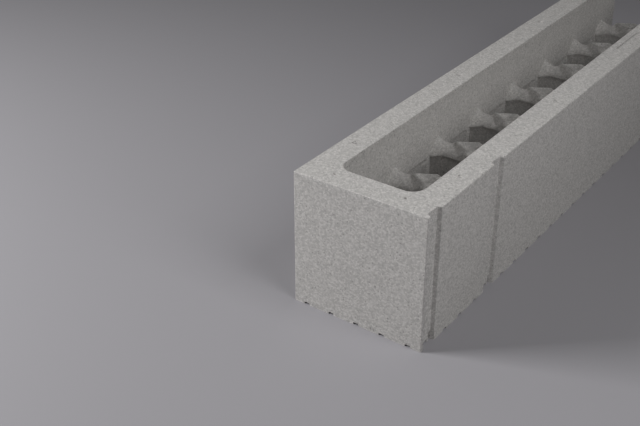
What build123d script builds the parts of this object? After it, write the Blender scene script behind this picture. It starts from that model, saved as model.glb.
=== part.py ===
from build123d import *
import os

# Insulating formwork block, corner pattern: a trough with two long walls, one closed
# end, and cross webs that hold the walls apart while the core is poured with concrete.
# It is one foam moulding. X is across, Y runs from the closed end to the open end.

# Outer form
BODY_LENGTH = 1200.0
WIDTH = 250.0
HEIGHT = 250.0
WALL = 50.0

# Cavity: the two halves of the mould meet at the parting height, and each draws its
# own way, so the walls are thickest there by the draft.
PARTING_HEIGHT = 146.0
DRAFT = 1.5
CAVITY_CORNER_RADIUS = 25.0

# Webs, one every WEB_PITCH, the first half a pitch from the closed end
WEB_PITCH = 150.0
WEB_THICKNESS = 60.0

# A web's top is a low roof that sweeps up to a peak at each wall. Each row gives the
# distance from the wall, the height of the ridge and the height of the two eaves.
LEVEL_RIDGE = 166.0
LEVEL_EAVES = 156.0
WEB_ROOF = (
    (0.0, 177.0, 146.0),
    (5.0, 174.0, 147.0),
    (11.0, 170.5, 149.5),
    (18.0, 167.5, 152.5),
    (27.0, LEVEL_RIDGE, LEVEL_EAVES),
)

# The lower half of the mould is a little larger than the upper one, so the webs' faces
# stand back under the eaves, and the walls stand back between the webs under the parting.
WEB_LIP = 4.0
RELIEF_DEPTH = 6.0
RELIEF_CORNER_RADIUS = 27.0

# A web's foot is level in the middle and haunched down to each wall
HAUNCH_REACH = 38.0
HAUNCH_FOOT = 54.0
WEB_FOOT = 80.0

# Lozenge boss on the middle of every web, which keeps reinforcing bars in the saddles.
# Sizes are half-diagonals, across the block and along it. Its top is dished, with a thin
# rim left all round: the dish's mouth and floor are parts of the top's size.
BOSS_TOP = 175.0
BOSS_TOP_SIZE = (36.0, 21.0)
BOSS_FOOT_SIZE = (53.0, 48.0)
DISH_DEPTH = 14.0
DISH_MOUTH = 0.86
DISH_FLOOR = 0.35

# Tongues on the open end of each wall, and the grooves in the side of the closed end
# that take the tongues of a block laid at right angles
TONGUE_WIDTH = 33.0
TONGUE_TIP_WIDTH = 27.0
TONGUE_REACH = 7.0
TONGUE_ROOT = 1.0
GROOVE_PLAY = 0.5

# Cross channels under the walls, on the block's building grid
GRID = 50.0
CHANNEL_WIDTH = 10.0
CHANNEL_HEIGHT = 4.0

# Round marks that the mould's ejectors leave in the top of the walls
EJECTOR_RADIUS = 6.0
EJECTOR_DEPTH = 1.2
EJECTOR_FIRST = 140.0
EJECTOR_PITCH = 350.0
EJECTOR_COUNT = 4
END_EJECTOR_RADIUS = 3.5
END_EJECTOR_SPAN = 132.0
END_EJECTOR_INSET = 31.0

FRONT = -(BODY_LENGTH + TONGUE_REACH) / 2
SHOULDER = FRONT + BODY_LENGTH
CAVITY_HALF = WIDTH / 2 - WALL
WEB_COUNT = round(BODY_LENGTH / WEB_PITCH)
WEB_CENTRES = [FRONT + WEB_PITCH * (index + 0.5) for index in range(WEB_COUNT)]
WALL_CENTRES = (-(WIDTH - WALL) / 2, (WIDTH - WALL) / 2)


def cavity_plan(inset):
    """Outline of the trough's hollow: round corners at the closed end, open at the other."""
    closed = FRONT + WALL + inset
    beyond = SHOULDER + TONGUE_REACH + WALL
    half = CAVITY_HALF - inset
    outline = Plane.XY * Pos(0, (closed + beyond) / 2) * Rectangle(2 * half, beyond - closed)
    return fillet(outline.vertices().group_by(Axis.Y)[0], CAVITY_CORNER_RADIUS)


def trough():
    """Floorless shell whose inner faces lean out, above and below the parting height."""
    shell = Pos(0, FRONT + BODY_LENGTH / 2, HEIGHT / 2) * Box(WIDTH, BODY_LENGTH, HEIGHT)
    narrow = cavity_plan(DRAFT)
    upper = loft([Pos(0, 0, PARTING_HEIGHT) * narrow, Pos(0, 0, HEIGHT) * cavity_plan(0)])
    lower = loft([cavity_plan(0), Pos(0, 0, PARTING_HEIGHT) * narrow])
    return shell - upper - lower


def web_section(x, ridge, eaves):
    """Section of a web across its thickness, at x from the block's middle."""
    half = WEB_THICKNESS / 2
    face = half - WEB_LIP
    from_wall = min(CAVITY_HALF - abs(x), HAUNCH_REACH)
    foot = HAUNCH_FOOT + (WEB_FOOT - HAUNCH_FOOT) * max(from_wall, 0) / HAUNCH_REACH
    far_side = [(face, foot), (face, eaves - WEB_LIP), (half, eaves)]
    near_side = [(-y, z) for y, z in reversed(far_side)]
    outline = Polyline(*far_side, (0, ridge), *near_side, close=True)
    return Plane(origin=(x, 0, 0), x_dir=(0, 1, 0), z_dir=(1, 0, 0)) * make_face(outline)


def web():
    """One web: roof on top, haunches below, rooted a little way inside both walls."""
    root_ridge, root_eaves = WEB_ROOF[0][1:]
    stations = [(CAVITY_HALF + DRAFT, root_ridge, root_eaves)]
    stations += [(CAVITY_HALF - reach, ridge, eaves) for reach, ridge, eaves in WEB_ROOF]
    stations.append((CAVITY_HALF - HAUNCH_REACH, LEVEL_RIDGE, LEVEL_EAVES))
    left = [web_section(-x, ridge, eaves) for x, ridge, eaves in stations]
    right = [web_section(x, ridge, eaves) for x, ridge, eaves in reversed(stations)]
    return loft(left + right, ruled=True) + boss() - boss_dish()


def lozenge(size, height, scale=1.0):
    """Level lozenge at a height, from its two half-diagonals."""
    across, along = (scale * half for half in size)
    corners = [(-across, 0), (0, -along), (across, 0), (0, along)]
    return Pos(0, 0, height) * make_face(Polyline(*corners, close=True))


def boss():
    """Lozenge with sloping sides that stands on the roof, cut off flush with the web's eaves."""
    slopes = loft([lozenge(BOSS_FOOT_SIZE, LEVEL_EAVES), lozenge(BOSS_TOP_SIZE, BOSS_TOP)], ruled=True)
    return slopes & Pos(0, 0, BOSS_TOP) * Box(WIDTH, WEB_THICKNESS, HEIGHT)


def boss_dish():
    """Hollow in the top of the boss, narrower at its floor."""
    floor = lozenge(BOSS_TOP_SIZE, BOSS_TOP - DISH_DEPTH, DISH_FLOOR)
    return loft([floor, lozenge(BOSS_TOP_SIZE, BOSS_TOP, DISH_MOUTH)], ruled=True)


def wall_relief():
    """Space that the lower half of the mould fills between two webs, wider than the cavity."""
    length = WEB_PITCH - WEB_THICKNESS + 2 * WEB_LIP
    plan = Rectangle(2 * (CAVITY_HALF + RELIEF_DEPTH), length)
    wide = fillet(plan.vertices(), RELIEF_CORNER_RADIUS)
    narrow = offset(wide, -RELIEF_DEPTH - DRAFT)
    shoulder = PARTING_HEIGHT - RELIEF_DEPTH
    sloping = loft([Pos(0, 0, shoulder) * wide, Pos(0, 0, PARTING_HEIGHT) * narrow])
    return extrude(wide, shoulder) + sloping


def tongue(play=0.0):
    """Upright key with sloping flanks from Y = 0 to its tip, rooted a little behind Y = 0."""
    half = TONGUE_WIDTH / 2 + play
    tip = TONGUE_TIP_WIDTH / 2 + play
    depth = TONGUE_REACH + play
    root = -TONGUE_ROOT - play
    points = [(-half, root), (-half, 0), (-tip, depth), (tip, depth), (half, 0), (half, root)]
    return extrude(make_face(Polyline(*points, close=True)), HEIGHT)


def side_grooves():
    """Two upright grooves in the +X face, on the centres of a crossing block's walls."""
    key = tongue(GROOVE_PLAY)
    centres = (FRONT + WALL / 2, FRONT + WIDTH - WALL / 2)
    return [Pos(WIDTH / 2, centre, 0) * Rot(0, 0, 90) * key for centre in centres]


def floor_channels():
    """Shallow channels through the foot of every wall, on the building grid."""
    channels = []
    along = int(BODY_LENGTH / GRID)
    for index in range(along):
        y = FRONT + GRID * (index + 0.5)
        channels.append(Pos(0, y, CHANNEL_HEIGHT / 2) * Box(WIDTH, CHANNEL_WIDTH, CHANNEL_HEIGHT))
    across = int(WIDTH / GRID)
    for index in range(across):
        x = -WIDTH / 2 + GRID * (index + 0.5)
        y = FRONT + WALL / 2
        channels.append(Pos(x, y, CHANNEL_HEIGHT / 2) * Box(CHANNEL_WIDTH, WALL, CHANNEL_HEIGHT))
    return channels


def ejector_marks():
    """Shallow round marks in the top: a row on each long wall, two small ones on the end wall."""
    centre_height = HEIGHT - EJECTOR_DEPTH / 2
    mark = Cylinder(EJECTOR_RADIUS, EJECTOR_DEPTH)
    rows = [FRONT + EJECTOR_FIRST + EJECTOR_PITCH * index for index in range(EJECTOR_COUNT)]
    marks = [Pos(x, y, centre_height) * mark for x in WALL_CENTRES for y in rows]
    small = Cylinder(END_EJECTOR_RADIUS, EJECTOR_DEPTH)
    for x in (-END_EJECTOR_SPAN / 2, END_EJECTOR_SPAN / 2):
        marks.append(Pos(x, FRONT + END_EJECTOR_INSET, centre_height) * small)
    return marks


def formwork_block():
    """The whole moulding, with what is added to the trough first and what is cut last."""
    block = trough()
    single_web = web()
    for y in WEB_CENTRES:
        block += Pos(0, y, 0) * single_web
    single_tongue = tongue()
    for x in WALL_CENTRES:
        block += Pos(x, SHOULDER, 0) * single_tongue
    relief = wall_relief()
    block -= [Pos(0, y + WEB_PITCH / 2, 0) * relief for y in WEB_CENTRES[:-1]]
    block -= side_grooves()
    block -= floor_channels()
    block -= ejector_marks()
    return block


os.makedirs("parts", exist_ok=True)
export_step(formwork_block(), "parts/formwork_block.step")
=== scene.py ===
import math

import bpy
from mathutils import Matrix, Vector


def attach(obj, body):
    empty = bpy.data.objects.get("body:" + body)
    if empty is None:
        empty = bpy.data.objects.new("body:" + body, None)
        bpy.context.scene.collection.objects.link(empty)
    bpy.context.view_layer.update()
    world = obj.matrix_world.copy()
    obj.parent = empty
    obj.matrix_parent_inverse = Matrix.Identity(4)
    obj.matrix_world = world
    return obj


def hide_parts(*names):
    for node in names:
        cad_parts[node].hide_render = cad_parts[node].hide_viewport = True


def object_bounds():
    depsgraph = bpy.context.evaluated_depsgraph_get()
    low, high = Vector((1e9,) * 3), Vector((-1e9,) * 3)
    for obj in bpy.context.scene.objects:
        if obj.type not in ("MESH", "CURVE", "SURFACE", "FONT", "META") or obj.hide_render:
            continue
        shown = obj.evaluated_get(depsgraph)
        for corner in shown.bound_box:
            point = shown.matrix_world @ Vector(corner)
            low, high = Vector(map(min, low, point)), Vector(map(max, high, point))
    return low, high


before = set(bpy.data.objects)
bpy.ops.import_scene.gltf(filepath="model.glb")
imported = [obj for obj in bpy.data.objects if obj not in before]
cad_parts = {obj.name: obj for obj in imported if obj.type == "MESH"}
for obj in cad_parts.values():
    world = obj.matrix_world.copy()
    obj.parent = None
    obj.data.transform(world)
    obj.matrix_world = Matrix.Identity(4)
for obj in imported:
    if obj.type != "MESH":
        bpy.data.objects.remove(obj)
cad_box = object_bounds()

# The formwork block: one moulding of grey bead foam, steamed in a closed mould until the
# beads weld together. It comes out with soft edges, a notch at the foot of each side groove,
# pin holes in its ejector marks, and a shallow bare plate in the top of the right wall.
front = cad_box[0][1]
side = cad_box[1][0]
top = cad_box[1][2]

SAME_POINT = 0.00002
SAME_PLANE = math.radians(1.0)
CUTTER_SPARE = 0.01

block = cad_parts["formwork_block"]
moulding = bpy.data.objects.new("block_moulding", block.data.copy())
bpy.context.scene.collection.objects.link(moulding)


def take_up(piece):
    """Select one piece alone, and make it the one that the tools work on."""
    bpy.ops.object.select_all(action="DESELECT")
    piece.select_set(True)
    bpy.context.view_layer.objects.active = piece


def finish_with(kind, settings):
    """Give the moulding a modifier and apply it."""
    modifier = moulding.modifiers.new(kind.lower(), kind)
    for name, value in settings.items():
        setattr(modifier, name, value)
    take_up(moulding)
    bpy.ops.object.modifier_apply(modifier=modifier.name)


def cut_away(cutter):
    """Take a cutter's shape out of the moulding, and throw the cutter away."""
    finish_with("BOOLEAN", {"object": cutter, "operation": "DIFFERENCE", "solver": "EXACT"})
    bpy.data.objects.remove(cutter)


def sink(low, high):
    """Cut a box-shaped sinking between two corners."""
    middle = [(a + b) / 2 for a, b in zip(low, high)]
    size = [b - a for a, b in zip(low, high)]
    bpy.ops.object.select_all(action="DESELECT")
    bpy.ops.mesh.primitive_cube_add(size=1.0, location=middle, scale=size)
    cut_away(bpy.context.object)


take_up(moulding)
bpy.ops.object.mode_set(mode="EDIT")
bpy.ops.mesh.select_all(action="SELECT")
bpy.ops.mesh.remove_doubles(threshold=SAME_POINT)
bpy.ops.mesh.dissolve_limited(angle_limit=SAME_PLANE)
bpy.ops.object.mode_set(mode="OBJECT")

# Places along the block are distances from the closed end. A notch lies in the floor of its
# groove, beside the far flank, and its start and end are distances from the groove's middle.
GROOVE_CENTRES = (0.025, 0.225)
NOTCH_START = 0.0095
NOTCH_END = 0.0145
NOTCH_DEPTH = 0.017
NOTCH_HEIGHT = 0.016
for groove in GROOVE_CENTRES:
    sink(
        (side - NOTCH_DEPTH, front + groove + NOTCH_START, -CUTTER_SPARE),
        (side + CUTTER_SPARE, front + groove + NOTCH_END, NOTCH_HEIGHT),
    )

PLATE_ACROSS = (0.0885, 0.1205)
PLATE_ALONG = (0.793, 0.902)
PLATE_DEPTH = 0.0015
sink(
    (PLATE_ACROSS[0], front + PLATE_ALONG[0], top - PLATE_DEPTH),
    (PLATE_ACROSS[1], front + PLATE_ALONG[1], top + CUTTER_SPARE),
)

WALL_CENTRE = 0.1
MARK_FIRST = 0.14
MARK_PITCH = 0.35
MARK_COUNT = 4
END_MARK_OFFSET = 0.066
END_MARK_INSET = 0.031
PIN_RADIUS = 0.002
PIN_DEPTH = 0.006


def prick(x, y):
    """Cut the small hole that the pin leaves in the middle of an ejector mark."""
    place = (x, y, top)
    bpy.ops.object.select_all(action="DESELECT")
    bpy.ops.mesh.primitive_cylinder_add(
        vertices=12, radius=PIN_RADIUS, depth=2 * PIN_DEPTH, location=place
    )
    cut_away(bpy.context.object)


for index in range(MARK_COUNT):
    for x in (-WALL_CENTRE, WALL_CENTRE):
        prick(x, front + MARK_FIRST + MARK_PITCH * index)
for x in (-END_MARK_OFFSET, END_MARK_OFFSET):
    prick(x, front + END_MARK_INSET)

# An upright edge rises more than UPRIGHT, and an outer one lies further than OUTER from the
# block's middle. The rim is where the level top meets a face that falls more than RIM_FALL.
SHARP = math.radians(35.0)
UPRIGHT = 0.2
OUTER = 0.12
LEVEL = 0.0001
RIM_FALL = 0.02
ROUNDING = 0.0016
SMOOTHED = math.radians(45.0)


def is_soft(edge, faces):
    """Whether an edge is an outer upright one, or part of the rim round the top of the walls."""
    ends = [mesh.vertices[index].co for index in edge.vertices]
    if abs(ends[0].z - ends[1].z) > UPRIGHT:
        return abs(ends[0].x) > OUTER and faces[0].normal.angle(faces[1].normal) > SHARP
    if min(ends[0].z, ends[1].z) < top - LEVEL:
        return False
    falls = [top - min(mesh.vertices[index].co.z for index in face.vertices) for face in faces]
    return min(falls) < LEVEL and max(falls) > RIM_FALL


mesh = moulding.data
neighbours = {}
for face in mesh.polygons:
    for key in face.edge_keys:
        neighbours.setdefault(key, []).append(face)
softness = mesh.attributes.new("bevel_weight_edge", "FLOAT", "EDGE")
for edge in mesh.edges:
    faces = neighbours[edge.key]
    softness.data[edge.index].value = 1.0 if len(faces) == 2 and is_soft(edge, faces) else 0.0
rounding = {
    "width": ROUNDING,
    "segments": 3,
    "limit_method": "WEIGHT",
    "use_clamp_overlap": False,
    "loop_slide": False,
}
finish_with("BEVEL", rounding)
bpy.ops.object.shade_smooth_by_angle(angle=SMOOTHED)
finish_with("WEIGHTED_NORMAL", {"keep_sharp": True, "weight": 100})


class Wire:
    """A shader socket that Python's arithmetic signs work on."""

    def __init__(self, recipe, socket):
        self.recipe = recipe
        self.socket = socket

    def reckon(self, operation, first, second):
        node = self.recipe.add("ShaderNodeMath", {"operation": operation}, {0: first, 1: second})
        return node["Value"]

    def __add__(self, other):
        return self.reckon("ADD", self, other)

    __radd__ = __add__

    def __sub__(self, other):
        return self.reckon("SUBTRACT", self, other)

    def __rsub__(self, other):
        return self.reckon("SUBTRACT", other, self)

    def __mul__(self, other):
        return self.reckon("MULTIPLY", self, other)

    __rmul__ = __mul__


class Recipe:
    """The node tree of one material, built a node at a time."""

    # A colour Mix node has several inputs of each name, so these are told apart by number.
    SHARE, FIRST_COLOUR, SECOND_COLOUR = 0, 6, 7

    def __init__(self, name):
        self.material = bpy.data.materials.new(name)
        self.material.use_nodes = True
        self.tree = self.material.node_tree
        self.shader = self.tree.nodes["Principled BSDF"]

    def add(self, kind, settings, values):
        """Add a node, set it up, feed its inputs, and give its live outputs by name."""
        node = self.tree.nodes.new(kind)
        for name, value in settings.items():
            setattr(node, name, value)
        self.feed(node, values)
        return {socket.name: Wire(self, socket) for socket in node.outputs if socket.enabled}

    def feed(self, node, values):
        """Link or set a node's inputs, each named, or numbered where names repeat."""
        for name, value in values.items():
            if isinstance(value, Wire):
                self.tree.links.new(value.socket, node.inputs[name])
            else:
                node.inputs[name].default_value = value

    def ramp(self, value, low, high):
        """Climbs smoothly from 0 at low to 1 at high."""
        settings = {"interpolation_type": "SMOOTHSTEP"}
        values = {"Value": value, "From Min": low, "From Max": high}
        return self.add("ShaderNodeMapRange", settings, values)["Result"]

    def mix(self, share, first, second):
        """The first colour where share is 0, the second where it is 1."""
        values = {self.SHARE: share, self.FIRST_COLOUR: first, self.SECOND_COLOUR: second}
        return self.add("ShaderNodeMix", {"data_type": "RGBA"}, values)["Result"]

    def red(self, colour):
        """The red part of a colour, as a number."""
        return self.add("ShaderNodeSeparateColor", {}, {"Color": colour})["Red"]


PALE_BEAD = (0.62, 0.602, 0.584, 1.0)
DULL_BEAD = (0.40, 0.389, 0.377, 1.0)
DARK_GAP = (0.16, 0.155, 0.15, 1.0)
BEAD_SIZE = 0.0028
POCK_SIZE = 0.0062
CLOUDS_PER_METRE = 9.0
CLOUD_SHARE = 0.15
SEAM_WIDTH = 0.12
SEAM_SHADE = 0.32
POCK_RIM = (0.10, 0.26)
POCK_CHANCE = (0.5, 0.7)
POCK_SHADE = 0.7
SKIN_RISE = 0.6
BEAD_RISE = 0.4

foam = Recipe("bead_foam")
place = foam.add("ShaderNodeTexCoord", {}, {})["Object"]
beads = {"Vector": place, "Scale": 1 / BEAD_SIZE}
bead = foam.add("ShaderNodeTexVoronoi", {}, beads)
gap = foam.add("ShaderNodeTexVoronoi", {"feature": "DISTANCE_TO_EDGE"}, beads)["Distance"]
tone = foam.red(bead["Color"])
clouds = {"Vector": place, "Scale": CLOUDS_PER_METRE, "Detail": 4.0}
cloud = foam.add("ShaderNodeTexNoise", {}, clouds)["Fac"]
skin = foam.ramp(gap, 0.0, SEAM_WIDTH)
pocks = foam.add("ShaderNodeTexVoronoi", {}, {"Vector": place, "Scale": 1 / POCK_SIZE})
chance = foam.red(pocks["Color"])
pock = (1 - foam.ramp(pocks["Distance"], *POCK_RIM)) * foam.ramp(chance, *POCK_CHANCE)

colour = foam.mix(tone * (1 - CLOUD_SHARE) + cloud * CLOUD_SHARE, DULL_BEAD, PALE_BEAD)
colour = foam.mix(SEAM_SHADE - skin * SEAM_SHADE, colour, DARK_GAP)
# The pits of missing beads are darkened towards DARK_GAP by POCK_SHADE: painted shade in these
# hollows, on top of the dip that the bump gives them.
colour = foam.mix(pock * POCK_SHADE, colour, DARK_GAP)
height = skin * SKIN_RISE + tone * BEAD_RISE - pock
bumps = {"Strength": 0.45, "Distance": 0.0004, "Height": height}
relief = foam.add("ShaderNodeBump", {}, bumps)["Normal"]
finish = {"Base Color": colour, "Roughness": 0.88, "Specular IOR Level": 0.25, "Normal": relief}
foam.feed(foam.shader, finish)
moulding.data.materials.clear()
moulding.data.materials.append(foam.material)
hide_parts("formwork_block")
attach(moulding, "root")

# The floor of the set: one plain round sheet of pale grey paper, far wider than the block,
# which lies level under it and takes its shadow.
PAPER_GREY = (0.31, 0.302, 0.32, 1.0)
bpy.ops.object.select_all(action="DESELECT")
bpy.ops.mesh.primitive_circle_add(vertices=64, radius=14.0, fill_type="NGON", location=(0, 0, 0))
floor = bpy.context.object
floor.name = "floor"
paper = Recipe("floor_paper")
paper.feed(paper.shader, {"Base Color": PAPER_GREY, "Roughness": 0.8})
floor.data.materials.append(paper.material)

# The light: a wide soft lamp low on the left, in front of the closed end, two weak ones on
# the right that reach into the cavity, and an almost dark world.
AIR_COLOUR = (0.75, 0.75, 0.77, 1.0)
AIR_STRENGTH = 0.02
world = bpy.data.worlds.new("studio_air")
world.use_nodes = True
air = world.node_tree.nodes["Background"]
air.inputs["Color"].default_value = AIR_COLOUR
air.inputs["Strength"].default_value = AIR_STRENGTH
bpy.context.scene.world = world


def lamp(name, place, aim, size, power):
    """Hang a square soft lamp at a place, turned towards its aim."""
    data = bpy.data.lights.new(name, "AREA")
    data.size = size
    data.energy = power
    body = bpy.data.objects.new(name, data)
    body.location = place
    body.rotation_mode = "QUATERNION"
    body.rotation_quaternion = (Vector(place) - Vector(aim)).to_track_quat("Z", "Y")
    bpy.context.scene.collection.objects.link(body)


lamp("key_lamp", place=(-2.0, -1.9, 1.5), aim=(0.0, -0.5, 0.1), size=1.0, power=76.0)
lamp("high_lamp", place=(1.25, -0.7, 1.8), aim=(0.1, -0.5, 0.1), size=1.1, power=17.0)
lamp("side_lamp", place=(2.0, -0.7, 1.3), aim=(0.1, -0.4, 0.1), size=0.9, power=8.0)

# The camera stands in front of the closed end, on the right and above, and looks down along
# the block. Its focal length and the picture's width are both in pixels.
PICTURE_WIDTH = 640.0
FOCAL_LENGTH = 1056.0
SENSOR_WIDTH = 36.0
HEADING = math.radians(35.93)
DIP = math.radians(30.8)
lens_data = bpy.data.cameras.new("camera")
lens_data.lens = FOCAL_LENGTH / PICTURE_WIDTH * SENSOR_WIDTH
lens_data.sensor_width = SENSOR_WIDTH
camera = bpy.data.objects.new("camera", lens_data)
camera.location = (0.7765, -1.7754, 1.0530)
level_reach = math.cos(DIP)
aim = Vector((-math.sin(HEADING) * level_reach, math.cos(HEADING) * level_reach, -math.sin(DIP)))
camera.rotation_mode = "QUATERNION"
camera.rotation_quaternion = (-aim).to_track_quat("Z", "Y")
bpy.context.scene.collection.objects.link(camera)
bpy.context.scene.camera = camera

bpy.context.scene.view_settings.view_transform = "Standard"
